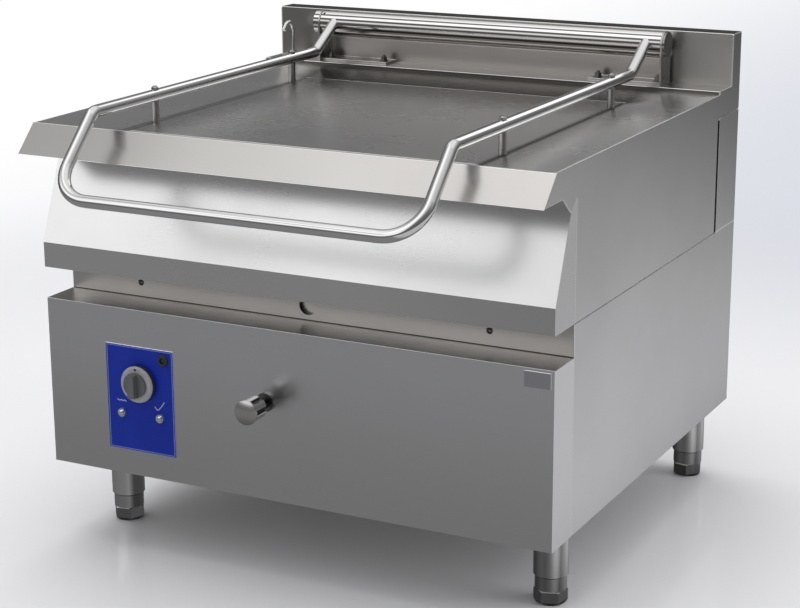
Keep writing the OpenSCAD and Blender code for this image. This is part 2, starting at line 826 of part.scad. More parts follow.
module cam_roller() color([0.8, 0.8, 0.82]) placed() {
  y = axis_y + lift_arm;
  difference() {
    cross_rod(
      beam_x + washer_t + 2 * move_gap, beam_x + cam_t + 4 - move_gap, y, roller_z, roller_d / 2
    );
    cross_rod(beam_x, beam_x + cam_t + 5, y, roller_z, roller_d / 4 + run_fit);
  }
}

module power_box() color([0.62, 0.63, 0.65]) placed() {
  low = leg_h + sheet_t + frame_tube;
  x0 = -half_w + power_in;
  x1 = x0 + power_w;
  y0 = box_d + power_back;
  top = low + power_h;
  difference() {
    block(x0, x1, y0, y0 + power_d, low, top);
    block(x0 + sheet_t, x1 - sheet_t, y0 + sheet_t, y0 + power_d + 1, low + sheet_t, top - sheet_t);
  }
  block(x0 - 4, x1 + 4, y0 - sheet_t, y0, low, top + 4);
}

// The threaded water inlet and the cable gland on the back
module water_inlet() color([0.75, 0.6, 0.3]) placed() {
  z = leg_h + 60;
  deep_rod(-half_w + inlet_in, body_d - 30, body_d - sheet_t, z, 16);
  deep_rod(-half_w + inlet_in, body_d - sheet_t, body_d, z, inlet_d / 2);
  difference() {
    deep_rod(half_w - inlet_in, body_d - 30, body_d - sheet_t, z, gland_d / 2);
    deep_rod(half_w - inlet_in, body_d - 31, body_d, z, inlet_d / 2);
  }
}

module basin() color([0.66, 0.66, 0.66]) placed() {
  x1 = basin_w / 2;
  y0 = basin_front;
  y1 = basin_front + basin_d;
  floor_z = basin_z + basin_floor_t;
  difference() {
    union() {
      rounded_slab(
        -x1 - basin_wall, x1 + basin_wall, y0 - basin_wall, y1 + basin_wall,
        basin_z, rest_z, basin_r + basin_wall
      );
      block(-seat_x, seat_x, seat_front, seat_back, rest_z - rest_t, rest_z);
    }
    hull() {
      for (x = [-x1 + basin_r, x1 - basin_r]) for (y = [y0 + basin_r, y1 - basin_r]) {
        translate([x, y, floor_z + basin_fillet]) cylinder(r = basin_r, h = rim_z - floor_z, $fn = 32);
        translate([x, y, floor_z]) cylinder(r = basin_r - basin_fillet, h = 1, $fn = 32);
        translate([x, y, floor_z + basin_fillet * 0.3]) {
          cylinder(r = basin_r - basin_fillet * 0.3, h = 1, $fn = 32);
        }
      }
    }
  }
}

// A block with sloping sides over the lid's seat, between two heights
module rim_space(z0, z1) {
  slope_x = (inner_x - rim_land - seat_x) / rim_drop;
  slope_front = (seat_front + rim_out - sheet_t - rim_land) / rim_drop;
  slope_back = (casing_y - rim_land - seat_back) / rim_drop;
  base = rim_z - rim_drop;
  d0 = z0 - base;
  d1 = z1 - base;
  polyhedron(
    points = [
      [-seat_x - d0 * slope_x, seat_front - d0 * slope_front, z0],
      [seat_x + d0 * slope_x, seat_front - d0 * slope_front, z0],
      [seat_x + d0 * slope_x, seat_back + d0 * slope_back, z0],
      [-seat_x - d0 * slope_x, seat_back + d0 * slope_back, z0],
      [-seat_x - d1 * slope_x, seat_front - d1 * slope_front, z1],
      [seat_x + d1 * slope_x, seat_front - d1 * slope_front, z1],
      [seat_x + d1 * slope_x, seat_back + d1 * slope_back, z1],
      [-seat_x - d1 * slope_x, seat_back + d1 * slope_back, z1]
    ],
    faces = [
      [0, 1, 2, 3], [7, 6, 5, 4], [0, 4, 5, 1], [1, 5, 6, 2], [2, 6, 7, 3], [3, 7, 4, 0]
    ]
  );
}

module pan_top() color([0.62, 0.62, 0.62]) placed() {
  difference() {
    intersection() {
      block(-inner_x, inner_x, -rim_out + sheet_t, casing_y, rest_z - 1, rim_z);
      translate([0, 0, -lid_t]) rim_space(rim_z - rim_drop, rim_z + lid_t);
    }
    rim_space(rim_z - rim_drop, rim_z + 1);
    block(-seat_x, seat_x, seat_front, seat_back, rest_z - 2, rim_z);
  }
}

// The pouring lip: a folded sheet with a return underneath
module front_lip() color([0.8, 0.79, 0.78]) placed() {
  side_plate(-half_w - lip_side, body_w + 2 * lip_side, [
    [-rim_out, rim_z], [lip_y, lip_z], [lip_y + lip_hem, lip_z], lip_inner_low,
    lip_inner_top, [-rim_out + sheet_t, rim_z]
  ]);
}

// The front of the casing: the vertical band, the leaning belly and the return under the lip
module front_casing() color([0.85, 0.85, 0.86]) placed() {
  t = sheet_t;
  side_plate(-inner_x, 2 * inner_x, [
    [band_y, pan_z], [band_y, belly_z], [notch_y, notch_z], [lip_root_y, lip_z],
    [lip_inner_low.x, lip_z], [lip_inner_low.x, lip_z + t], [lip_root_y + t, lip_z + t],
    [notch_y + t, notch_z + t * 0.6], [notch_y + t, notch_z - t * 0.4], [band_y + t, belly_z - t * 0.4],
    [band_y + t, pan_z + t], [band_y + 14, pan_z + t], [band_y + 14, pan_z]
  ]);
  for (x = [-half_w, inner_x]) side_plate(x, sheet_t, [
    [band_y, pan_z], [band_y, belly_z], [notch_y, notch_z], [box_d - 0.3, notch_z + 20],
    [box_d - 0.3, pan_z]
  ]);
}

// A side of the casing, from the lip back over the rear block to the backsplash
module casing_side(x0) {
  side_plate(x0, sheet_t, [
    lip_inner_top, [-rim_out + sheet_t, rim_z], [casing_y, rim_z], [casing_y, ledge_z], [splash_y, ledge_z],
    [splash_y, splash_top - sheet_t], [body_d - sheet_t, splash_top - sheet_t],
    [body_d - sheet_t, block_z], [column_y - column_gap, block_z],
    [column_y - column_gap, block_z - slot_web], [slot_y, block_z - slot_web],
    [slot_y, pan_z], [box_d, pan_z], [box_d, notch_z + 20.2], [notch_y, notch_z + 0.3],
    [lip_root_y, lip_z], [lip_inner_low.x, lip_z], lip_inner_low
  ]);
}

module casing_left() color(steel) placed() casing_side(-half_w);

module casing_right() color(steel) placed() casing_side(inner_x);

// The casing's back and the underside and top of the rear block
module rear_casing() color(steel) placed() {
  block(-inner_x, inner_x, slot_y - sheet_t, slot_y, pan_z, block_z + sheet_t);
  block(-inner_x, inner_x, slot_y - sheet_t, body_d - sheet_t, block_z, block_z + sheet_t);
  block(-inner_x, inner_x, casing_y, casing_y + sheet_t, block_z, ledge_z);
  block(-inner_x, inner_x, casing_y + sheet_t, splash_y, ledge_z - sheet_t, ledge_z);
}

module backsplash() color(steel) placed() {
  difference() {
    block(-half_w, half_w, splash_y, body_d, block_z + sheet_t, splash_top);
    block(-inner_x, inner_x, splash_y + sheet_t, body_d - sheet_t, block_z, splash_top - sheet_t);
    for (x = [-half_w - 1, inner_x]) {
      block(x, x + sheet_t + 1, splash_y - 1, body_d - sheet_t, block_z, splash_top - sheet_t);
    }
    block(-inner_x, inner_x, splash_y - 1, splash_y + sheet_t + 1, block_z, ledge_z - sheet_t);
  }
}

// Two beams and two cross bars that carry the basin on the tilt shaft
module pan_frame() color(dark_steel) placed() {
  difference() {
    union() {
      both_sides() {
        block(beam_x - beam_w, beam_x, axis_y - 18, slot_y - sheet_t, beam_z, basin_z);
        block(beam_x - 4, beam_x, axis_y - 18, axis_y + 60, beam_z, axis_z + 20);
      }
      for (y = [basin_front + 30, basin_front + basin_d - 70]) {
        block(-beam_x + beam_w, beam_x - beam_w, y, y + frame_tube, beam_z, basin_z);
      }
    }
    cross_rod(-body_w, body_w, axis_y, axis_z, shaft_d / 2);
  }
}

// Looped heating rods under the basin's floor
module heating_elements() color([0.25, 0.22, 0.2]) placed() {
  rod_r = element_d / 2;
  z = basin_z - rod_r;
  y0 = basin_front + element_edge;
  y1 = basin_front + basin_d - element_edge - 10;
  pitch = (basin_w / 2 - element_edge) / 2;
  for (x = [-2 * pitch:pitch:2 * pitch]) {
    for (side = [-1, 1]) deep_rod(x + side * element_loop, y0, y1, z, rod_r);
    translate([x, y1, z]) rotate_extrude(angle = 180) translate([element_loop, 0]) circle(r = rod_r);
  }
}

module tilt_shaft() color(chrome) placed() {
  cross_rod(-trunnion_x - trunnion_t - 12, trunnion_x + trunnion_t + 12, axis_y, axis_z, shaft_d / 2);
}

// The plate with the curved slot that turns the roller's steady rise into a steady tilt
module cam_plate() color([0.55, 0.56, 0.58]) placed() {
  steps = 40;
  half = roller_d / 2 + roller_gap;
  edge = half + cam_margin;
  path = [for (i = [0:steps]) cam_point(tilt_max * i / steps)];
  across = [for (i = [0:steps]) [sin(tilt_max * i / steps), cos(tilt_max * i / steps)]];
  first = path[0];
  final = path[steps];
  difference() {
    union() {
      side_plate(beam_x, cam_t, concat(
        [for (i = [0:steps]) path[i] - across[i] * edge],
        [for (i = [steps:-1:0]) path[i] + across[i] * edge]
      ));
      for (p = [first, final]) cross_rod(beam_x, beam_x + cam_t, p.x, p.y, edge);
      block(beam_x, beam_x + cam_t, first.x - edge, final.x, beam_z, first.y);
    }
    side_plate(beam_x - 1, cam_t + 2, concat(
      [for (i = [0:steps]) path[i] - across[i] * half],
      [for (i = [steps:-1:0]) path[i] + across[i] * half]
    ));
    for (p = [first, final]) cross_rod(beam_x - 1, beam_x + cam_t + 1, p.x, p.y, half);
  }
}

module hinge_brackets() color(steel) placed() {
  both_sides() difference() {
    union() {
      cross_rod(bracket_x - bracket_t, bracket_x, hinge_y, hinge_z, bracket_r);
      block(
        bracket_x - bracket_t, bracket_x, hinge_y - bracket_r, hinge_y + bracket_r, ledge_z, hinge_z
      );
    }
    cross_rod(bracket_x - bracket_t - 1, bracket_x + 1, hinge_y, hinge_z, pin_d / 2);
  }
}

// The upright plate behind the hinge tube, with folded top and end edges and two bolted feet
module hinge_base() color(steel) placed() {
  x1 = bracket_x - bracket_t;
  y1 = splash_y - 4;
  fold_y = y1 - pad_t - 8;
  block(-x1, x1, y1 - pad_t, y1, ledge_z, ledge_z + plate_up);
  block(-x1, x1, fold_y, y1, ledge_z + plate_up, ledge_z + plate_up + 2);
  both_sides() {
    block(x1 - 8, x1, fold_y, y1 - pad_t, ledge_z, ledge_z + plate_up);
    block(x1 - pad_w, x1, y1 - pad_d, y1 - pad_t, ledge_z, ledge_z + pad_t);
  }
}

module hinge_bolts() color(chrome) placed() {
  x1 = bracket_x - bracket_t;
  y = splash_y - 4 - pad_d * 0.62;
  both_sides() for (x = [x1 - 12, x1 - pad_w + 14]) translate([x, y, ledge_z + pad_t]) {
    cylinder(d = 18, h = 1.6);
    translate([0, 0, 1.6]) cylinder(d = 14, h = 7, $fn = 6);
    translate([0, 0, 8.6]) cylinder(d = 7, h = 4);
  }
}

// The fixed pins that the hinge tube turns on, with their round caps outside the brackets
module hinge_pins() color(chrome) placed() {
  both_sides() cross_rod(bracket_x - bracket_t - 40, bracket_x, hinge_y, hinge_z, pin_d / 2);
  cross_rod(-bracket_x - hinge_cap, -bracket_x, hinge_y, hinge_z, hinge_d / 2);
  cross_rod(bracket_x, bracket_x + end_cap, hinge_y, hinge_z, hinge_d / 2);
}

module spout_base() color(chrome) placed() {
  y = casing_y + sheet_t + 29;
  translate([-half_w + spout_x, y, ledge_z]) difference() {
    union() {
      cylinder(d = spout_foot_d, h = 5);
      cylinder(d = spout_d + 8, h = 14);
    }
    translate([0, 0, 2]) cylinder(d = spout_d + 2 * run_fit, h = 20);
  }
}

// The swan-neck spout
module spout() color(chrome) placed() {
  x = -half_w + spout_x;
  y = casing_y + sheet_t + 29;
  low = ledge_z + 2 + move_gap;
  top = ledge_z + spout_up;
  corner = spout_r * tan(67.5);
  knee = [x, y, top + corner];
  bent_tube([
    [x, y, low], knee, knee + [0, -1, -1] * (corner + 12) / sqrt(2)
  ], [spout_r], spout_d / 2);
}

module lid_plate() color([0.6, 0.6, 0.6]) placed() {
  x1 = seat_x - lid_gap;
  y0 = seat_front + lid_gap;
  y1 = seat_back - lid_gap;
  sx = basin_w / 2 - 5;
  sy0 = basin_front + 5;
  sy1 = basin_front + basin_d - 5;
  rounded_slab(-x1, x1, y0, y1, lid_z, lid_z + lid_t, 3);
  difference() {
    rounded_slab(-sx, sx, sy0, sy1, lid_z - lid_skirt, lid_z, basin_r);
    rounded_slab(
      -sx + lid_t, sx - lid_t, sy0 + lid_t, sy1 - lid_t, lid_z - lid_skirt - 1, lid_z,
      basin_r - lid_t
    );
  }
}

module lid_frame() color(chrome) placed() {
  arm_end = hinge_z + hinge_d * 0.12;
  difference() {
    frame_tube_run(hinge_y - hinge_d * 0.24, arm_end);
    cross_rod(-bracket_x, bracket_x, hinge_y, hinge_z, hinge_d / 2);
    each_post() post_shape();
  }
}

module frame_tube_run(arm_y, arm_end) {
  bent_tube([
    [-frame_x, arm_y, arm_end],
    [-frame_x, bend_y, run_z],
    [-frame_x, -run_out, run_z],
    [-frame_x, -bar_out, bar_z],
    [frame_x, -bar_out, bar_z],
    [frame_x, -run_out, run_z],
    [frame_x, bend_y, run_z],
    [frame_x, arm_y, arm_end]
  ], [bend_r, bend_r, corner_r, corner_r, bend_r, bend_r], tube_d / 2);
}

module each_post() {
  for (x = [-frame_x, frame_x]) for (y = [post_front, post_front + post_pitch]) {
    translate([x, y, 0]) children();
  }
}

// The posts that hang the lid's sheet from its tube frame, riveted over on top of the tube
module lid_posts() color(chrome) placed() {
  each_post() post_shape();
}

// A post from the lid into the tube, its stud through the tube and the stud's domed head
module post_shape() {
  foot_z = lid_z + lid_t;
  seat = tube_d * 0.35;
  head_r = stud_d / 2 + 2;
  translate([0, 0, foot_z]) cylinder(d = post_d, h = run_z - seat - foot_z);
  translate([0, 0, run_z - seat - 1]) cylinder(d = stud_d, h = 2 * seat + 2);
  edge_h = tube_d / 2 - seat + head_h / 2;
  translate([0, 0, run_z + seat]) rotate_extrude() polygon([
    [0, 0], [head_r, 0], [head_r, edge_h], [head_r * 0.5, edge_h + head_h / 2],
    [0, edge_h + head_h / 2]
  ]);
}

module hinge_tube() color(chrome) placed() {
  x1 = bracket_x - bracket_t - move_gap;
  difference() {
    cross_rod(-x1, x1, hinge_y, hinge_z, hinge_d / 2);
    cross_rod(-x1 - 1, x1 + 1, hinge_y, hinge_z, hinge_d / 2 - hinge_wall);
    grub_hole();
  }
}

// The hole for the grub screw that keeps the left bush in the hinge tube
module grub_hole() {
  x = bracket_x - bracket_t - move_gap - grub_d - 0.5;
  translate([-x, hinge_y, hinge_z]) rotate([34, 0, 0]) {
    translate([0, 0, hinge_d / 2 - hinge_wall - 4]) cylinder(d = grub_d, h = hinge_wall + 6);
  }
}

module tube_bushes() color([0.72, 0.52, 0.2]) placed() {
  x1 = bracket_x - bracket_t - move_gap;
  difference() {
    both_sides() difference() {
      cross_rod(x1 - 36, x1, hinge_y, hinge_z, hinge_d / 2 - hinge_wall);
      cross_rod(x1 - 41, x1 + 1, hinge_y, hinge_z, pin_d / 2 + run_fit);
    }
    grub_hole();
  }
}

base_frame();
base_floor();
side_panel_left();
side_panel_right();
rear_panel();
column_cover();
front_panel();
sill_strip();
sill_screws();
control_plate();
badge_plate();
thermostat();
knob_spindle();
knob_skirt();
knob_grip();
button_bezels();
switch_blocks();
heat_button();
tilt_button();
reset_bezel();
reset_button();
water_valve();
valve_spindle();
valve_knob();
leg_sleeves();
foot_front_left();
foot_front_right();
foot_rear_left();
foot_rear_right();
trunnion_brackets();
trunnion_bushes();
actuator_housing();
actuator_motor();
actuator_rod();
cam_roller();
power_box();
water_inlet();
basin();
pan_top();
front_lip();
front_casing();
casing_left();
casing_right();
rear_casing();
backsplash();
pan_frame();
heating_elements();
tilt_shaft();
cam_plate();
hinge_brackets();
hinge_base();
hinge_bolts();
hinge_pins();
spout_base();
spout();
lid_plate();
lid_frame();
lid_posts();
hinge_tube();
tube_bushes();
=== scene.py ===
import math

import bpy
from mathutils import Matrix, Vector


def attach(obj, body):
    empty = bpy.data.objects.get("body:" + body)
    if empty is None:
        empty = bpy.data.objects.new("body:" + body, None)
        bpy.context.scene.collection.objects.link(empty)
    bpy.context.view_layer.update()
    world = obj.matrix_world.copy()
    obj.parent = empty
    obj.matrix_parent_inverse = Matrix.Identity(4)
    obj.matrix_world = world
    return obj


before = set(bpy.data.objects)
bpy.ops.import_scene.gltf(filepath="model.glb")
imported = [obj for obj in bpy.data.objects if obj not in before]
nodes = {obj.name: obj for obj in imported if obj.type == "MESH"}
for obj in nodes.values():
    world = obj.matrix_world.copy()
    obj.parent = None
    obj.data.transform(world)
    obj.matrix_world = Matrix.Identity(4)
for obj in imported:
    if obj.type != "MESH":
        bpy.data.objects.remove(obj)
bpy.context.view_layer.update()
scene = bpy.context.scene

# Places on the part, in metres of the shared frame: X to the right, Y to the back, Z up
FRONT_Y = -0.357  # the outer face of the lower front panel
PLATE_X, PLATE_Z = -0.3025, 0.2975  # the middle of the control plate
PLATE_HALF_X, PLATE_HALF_Z = 0.0720, 0.0995
PLATE_T = 0.0015
INDEX_DOT = (-0.3025, -0.3729, 0.3578)  # on the ring round the thermostat knob
INDEX_R = 0.0024
VALVE_X, VALVE_Z = -0.040, 0.333  # the axis of the water valve's knob
VALVE_FLUTE_R, VALVE_OUTER_R = 0.0185, 0.0205
CUP_R = 0.018  # the hole in the middle of the sill
GAP_Y, GAP_HALF_Y = 0.4265, 0.0030  # the gap between the tilting casing and the fixed column
GAP_Z, GAP_HALF_Z = 0.6315, 0.1085
SPLIT_Z = 0.5220  # where the casing ends and the side panel starts
COLUMN_TOP_Z, COLUMN_Y, COLUMN_HALF_Y = 0.7445, 0.486, 0.057
COLUMN_END_X = 0.485
FOLD_HALF = 0.0018
LID_SIDE_X, LID_REAR_Y = 0.3445, 0.332  # the edges of the lid's seat
SHOULDER_TOP_Z, HEXAGON_TOP_Z = 0.053, 0.026  # on each foot
HEXAGON_CHAMFER = 0.005


# ---------------------------------------------------------------- shader helpers
def new_material(name):
    mat = bpy.data.materials.new(name)
    mat.use_nodes = True
    return mat, mat.node_tree, mat.node_tree.nodes["Principled BSDF"]


def node(tree, kind, **values):
    made = tree.nodes.new(kind)
    for key, value in values.items():
        setattr(made, key, value)
    return made


def feed(tree, socket, value):
    """Links an output to a socket, or sets the socket to a number or a colour."""
    if hasattr(value, "links"):
        tree.links.new(value, socket)
    elif isinstance(value, tuple):
        socket.default_value = (*value, 1)
    else:
        socket.default_value = value


def noise(tree, scale, detail, rough=0.55, stretch=(1, 1, 1)):
    """A noise in object space, in metres, stretched by its mapping."""
    coords = node(tree, "ShaderNodeTexCoord")
    mapping = node(tree, "ShaderNodeMapping")
    mapping.inputs["Scale"].default_value = stretch
    tree.links.new(coords.outputs["Object"], mapping.inputs["Vector"])
    made = node(tree, "ShaderNodeTexNoise")
    made.inputs["Scale"].default_value = scale
    made.inputs["Detail"].default_value = detail
    made.inputs["Roughness"].default_value = rough
    tree.links.new(mapping.outputs["Vector"], made.inputs["Vector"])
    return made.outputs["Fac"]


def ranged(tree, value, low, high, from_low=0.3, from_high=0.7, smooth=False):
    """Maps a range, which is a noise's own range unless it is given, to low...high."""
    made = node(tree, "ShaderNodeMapRange")
    made.interpolation_type = "SMOOTHSTEP" if smooth else "LINEAR"
    numbers = {"From Min": from_low, "From Max": from_high, "To Min": low, "To Max": high}
    for socket, number in numbers.items():
        made.inputs[socket].default_value = number
    tree.links.new(value, made.inputs["Value"])
    return made.outputs["Result"]


def rise(tree, value, start, end, top=1):
    """Goes softly from 0 at the start to the top at the end."""
    return ranged(tree, value, 0, top, start, end, smooth=True)


def fade(tree, value, start, end, top=1):
    """Goes softly from the top at the start to 0 at the end."""
    return ranged(tree, value, top, 0, start, end, smooth=True)


def calc(tree, operation, a, b=0.0):
    """One step of arithmetic on outputs or numbers."""
    made = node(tree, "ShaderNodeMath", operation=operation)
    feed(tree, made.inputs[0], a)
    feed(tree, made.inputs[1], b)
    return made.outputs[0]


def times(tree, a, b):
    return calc(tree, "MULTIPLY", a, b)


def minus(tree, a, b):
    return calc(tree, "SUBTRACT", a, b)


def below(tree, a, b):
    return calc(tree, "LESS_THAN", a, b)


def mixed(tree, fac, a, b):
    made = node(tree, "ShaderNodeMix", data_type="RGBA")
    feed(tree, made.inputs["Factor"], fac)
    feed(tree, made.inputs["A"], a)
    feed(tree, made.inputs["B"], b)
    return made.outputs["Result"]


def tinted(tree, base, masks):
    """Lays each mask's colour over the base, one after the other."""
    for mask, colour in masks:
        base = mixed(tree, mask(tree), base, colour)
    return base


def part_of(tree, output, axis):
    """The X, Y or Z of the object coordinates or of the surface's own direction."""
    coords = node(tree, "ShaderNodeTexCoord")
    split = node(tree, "ShaderNodeSeparateXYZ")
    tree.links.new(coords.outputs[output], split.inputs[0])
    return split.outputs[axis]


def off(tree, axis, place=0.0):
    """How far a point is from a place on an axis, either way."""
    return calc(tree, "ABSOLUTE", minus(tree, part_of(tree, "Object", axis), place))


def within(tree, axis, place, half):
    return below(tree, off(tree, axis, place), half)


def distance(tree, point):
    coords = node(tree, "ShaderNodeTexCoord")
    away = node(tree, "ShaderNodeVectorMath", operation="DISTANCE")
    tree.links.new(coords.outputs["Object"], away.inputs[0])
    away.inputs[1].default_value = point
    return away.outputs["Value"]


def along(tree, axis, start, end):
    """0 to 1 along an axis of the object, in metres."""
    return rise(tree, part_of(tree, "Object", axis), start, end)


def facing(tree, axis, sign=0, limit=0.7):
    """1 on the faces that look along an axis: both ways, or only its sign's way."""
    value = part_of(tree, "Normal", axis)
    value = times(tree, value, sign) if sign else calc(tree, "ABSOLUTE", value)
    return calc(tree, "GREATER_THAN", value, limit)


def turn(tree, rise_axis, run_axis, run_sign=1):
    """The angle in degrees at which the surface looks, round the third axis."""
    run = times(tree, part_of(tree, "Normal", run_axis), run_sign)
    angle = calc(tree, "ARCTAN2", part_of(tree, "Normal", rise_axis), run)
    return times(tree, angle, 180 / math.pi)


def greys(tree, value, stops):
    """A ramp of greys, as pairs of a value from 0 to 1 and a brightness."""
    ramp = node(tree, "ShaderNodeValToRGB")
    tree.links.new(value, ramp.inputs["Fac"])
    band = ramp.color_ramp
    for stop, (place, grey) in zip((band.elements[0], band.elements[1]), (stops[0], stops[-1])):
        stop.position = place
        stop.color = (grey, grey, grey, 1)
    for place, grey in stops[1:-1]:
        band.elements.new(place).color = (grey, grey, grey, 1)
    return ramp.outputs["Color"]


def bumped(tree, shader, height, strength, deep):
    made = node(tree, "ShaderNodeBump")
    made.inputs["Strength"].default_value = strength
    made.inputs["Distance"].default_value = deep
    tree.links.new(height, made.inputs["Height"])
    tree.links.new(made.outputs["Normal"], shader.inputs["Normal"])


# ---------------------------------------------------------------- kinds of surface
GRAIN = {"X": (0.012, 1, 1), "Y": (1, 0.012, 1), "Z": (1, 1, 0.012)}


def brushed(name, colour, rough, grain="X", tone=0.005, smear=0.05, depth=0.004, masks=()):
    """Sheet steel with a fine straight grain, faint smears and an uneven gloss.

    Each mask is a function that gives a factor, and the colour it brings in."""
    mat, tree, shader = new_material(name)
    fine = noise(tree, scale=1800, detail=3, rough=0.6, stretch=GRAIN[grain])
    coarse = noise(tree, scale=420, detail=4, rough=0.6, stretch=GRAIN[grain])
    cloud = noise(tree, scale=3.2, detail=5, rough=0.6)
    base = tinted(tree, colour, masks)
    streak = ranged(tree, coarse, 1 - tone, 1 + tone)
    haze = ranged(tree, cloud, 1, 1 - smear)
    level = node(tree, "ShaderNodeVectorMath", operation="SCALE")
    if masks:
        tree.links.new(base, level.inputs[0])
    else:
        level.inputs[0].default_value = base
    tree.links.new(times(tree, streak, haze), level.inputs["Scale"])
    tree.links.new(level.outputs["Vector"], shader.inputs["Base Color"])
    shader.inputs["Metallic"].default_value = 1.0
    streaks = ranged(tree, coarse, rough - 0.004, rough + 0.004)
    gloss = calc(tree, "ADD", streaks, ranged(tree, cloud, -0.02, 0.03))
    tree.links.new(gloss, shader.inputs["Roughness"])
    bumped(tree, shader, fine, strength=depth, deep=0.0002)
    return mat


def polished(name, colour, rough, masks=()):
    """Bright bar or tube with hair scratches."""
    mat, tree, shader = new_material(name)
    scratches = noise(tree, scale=700, detail=4, rough=0.7, stretch=(1, 0.2, 0.3))
    cloud = noise(tree, scale=14, detail=4)
    dulled = tuple(c * 0.93 for c in colour)
    base = tinted(tree, mixed(tree, ranged(tree, cloud, 0, 1), colour, dulled), masks)
    tree.links.new(base, shader.inputs["Base Color"])
    shader.inputs["Metallic"].default_value = 1
    tree.links.new(ranged(tree, scratches, rough, rough + 0.05), shader.inputs["Roughness"])
    bumped(tree, shader, scratches, strength=0.015, deep=0.0002)
    return mat


def painted(name, colour, rough, pebble=500, depth=0.15, shine=0.5, masks=()):
    """Paint or moulded plastic with a fine pebble and uneven gloss."""
    mat, tree, shader = new_material(name)
    grain = noise(tree, scale=pebble, detail=3)
    cloud = noise(tree, scale=18, detail=5)
    dulled = tuple(c * 0.85 for c in colour)
    base = tinted(tree, mixed(tree, ranged(tree, cloud, 0, 1), colour, dulled), masks)
    tree.links.new(base, shader.inputs["Base Color"])
    shader.inputs["Specular IOR Level"].default_value = shine
    tree.links.new(ranged(tree, grain, rough - 0.04, rough + 0.06), shader.inputs["Roughness"])
    bumped(tree, shader, grain, strength=depth, deep=0.0003)
    return mat


# ---------------------------------------------------------------- masks
# Each is a function of a node tree that gives a factor from 0 to 1.
def graded(axis, start, end):
    """A mask that rises along an axis."""
    return lambda tree: along(tree, axis, start, end)


def looking(axis, sign=0):
    """A mask of the faces that look along an axis."""
    return lambda tree: facing(tree, axis, sign)


# Masks by the way a face looks. The looks below use them for painted light and shade: lighter side
# faces on the front panel, darker side faces on the casing, darker tops on the front panel and the
# backsplash, a darker front on the rear ledge.
sides = looking("X")
upward = looking("Z", 1)
frontward = looking("Y", -1)
right_half = graded("X", -0.1, 0.1)
right_part_shade = graded("X", 0.10, 0.46)  # painted shade: the casing and the lip darker towards the right
# painted shade: the lip darker towards the left
lip_left_shade = graded("X", -0.10, -0.42)
# painted light: the rim lighter at the right
rim_right_light = graded("X", 0.352, 0.38)
right_end_shade = graded("X", 0.372, 0.378)  # painted shade: the hinge tube's right end darker
# painted shade: the lid darker towards the back, under the hinge
lid_back_shade = graded("Y", 0.13, 0.33)
# painted light: the sides lighter towards the bottom
low_side_light = graded("Z", 0.80, 0.14)
low_part_shade = graded("Z", 0.46, 0.15)  # painted shade: the front panel darker towards the bottom
knob_low_shade = graded("Z", 0.332, 0.312)  # painted shade: the valve knob's lower half darker
sill_joint_shade = graded("Z", 0.4662, 0.4656)  # painted shade along the joint on top of the front panel


def round_the_axis(tree):
    """The rim of a disc that faces the front."""
    return minus(tree, 1.0, facing(tree, "Y", limit=0.35))


def cup_wall_shade(tree):
    """The wall of the hole in the sill, painted black as shade."""
    return times(tree, within(tree, "X", 0.0, CUP_R), round_the_axis(tree))


def gap_shade(tree):
    """The black gap between the tilting casing and the fixed column: painted shade."""
    return times(
        tree, within(tree, "Y", GAP_Y, GAP_HALF_Y), within(tree, "Z", GAP_Z, GAP_HALF_Z)
    )


def column_edge_shade(tree):
    """The two ends of the column's front, deep in the gap beside the casing, painted black as shade.
    """
    outer = calc(tree, "GREATER_THAN", off(tree, "X"), COLUMN_END_X)
    return times(tree, outer, frontward(tree))


def seam_highlight(tree):
    """Painted highlights on the folded edges at the split of the side and on top of the column."""
    top = within(tree, "Z", COLUMN_TOP_Z, FOLD_HALF)
    top = times(tree, top, within(tree, "Y", COLUMN_Y, COLUMN_HALF_Y))
    return calc(tree, "MAXIMUM", within(tree, "Z", SPLIT_Z, FOLD_HALF), top)


def rear_side(tree):
    """Half strength at the back of the sides: takes them halfway back to their top tone, so the
    painted light low on the sides is weaker there.
    """
    return times(tree, along(tree, "Y", -0.30, 0.54), 0.5)


def border(tree):
    """A fine pale line just inside the control plate's edge."""
    inset, half_line = 0.0030, 0.0008
    inside = calc(
        tree,
        "MINIMUM",
        minus(tree, PLATE_HALF_X, off(tree, "X", PLATE_X)),
        minus(tree, PLATE_HALF_Z, off(tree, "Z", PLATE_Z)),
    )
    return below(tree, calc(tree, "ABSOLUTE", minus(tree, inside, inset)), half_line)


def seat_crease(tree):
    """The shaded crease along the two sides of the lid's seat."""
    away = calc(tree, "ABSOLUTE", minus(tree, off(tree, "X"), LID_SIDE_X))
    return fade(tree, away, 0.001, 0.014, top=0.85)


def rear_crease(tree):
    """The shaded crease at the back of the lid's seat."""
    strip = fade(tree, off(tree, "Y", LID_REAR_Y), 0.003, 0.012)
    return times(tree, strip, within(tree, "X", 0.0, 0.35))


def behind_lid(tree):
    """The shaded strip of the rim between the lid and the rear ledge."""
    middle = fade(tree, off(tree, "X"), 0.345, 0.40)
    return times(tree, along(tree, "Y", 0.30, 0.34), middle)


def round_x(tree):
    """The angle round a bar that lies along X: 0 at the front, 90 at the top."""
    return turn(tree, "Z", "Y", -1)


def round_z(tree):
    """The angle round an upright leg: 0 on the right, -90 at the front."""
    return turn(tree, "Y", "X")


def reflection_line(angle, half):
    """A mask of a soft painted reflection line along the hinge tube."""

    def mask(tree):
        away = calc(tree, "ABSOLUTE", minus(tree, round_x(tree), angle))
        return fade(tree, away, half * 0.4, half)

    return mask


def under(tree):
    """The lower half of the hinge tube, which gets a darker painted reflection."""
    return fade(tree, round_x(tree), 14, 24)


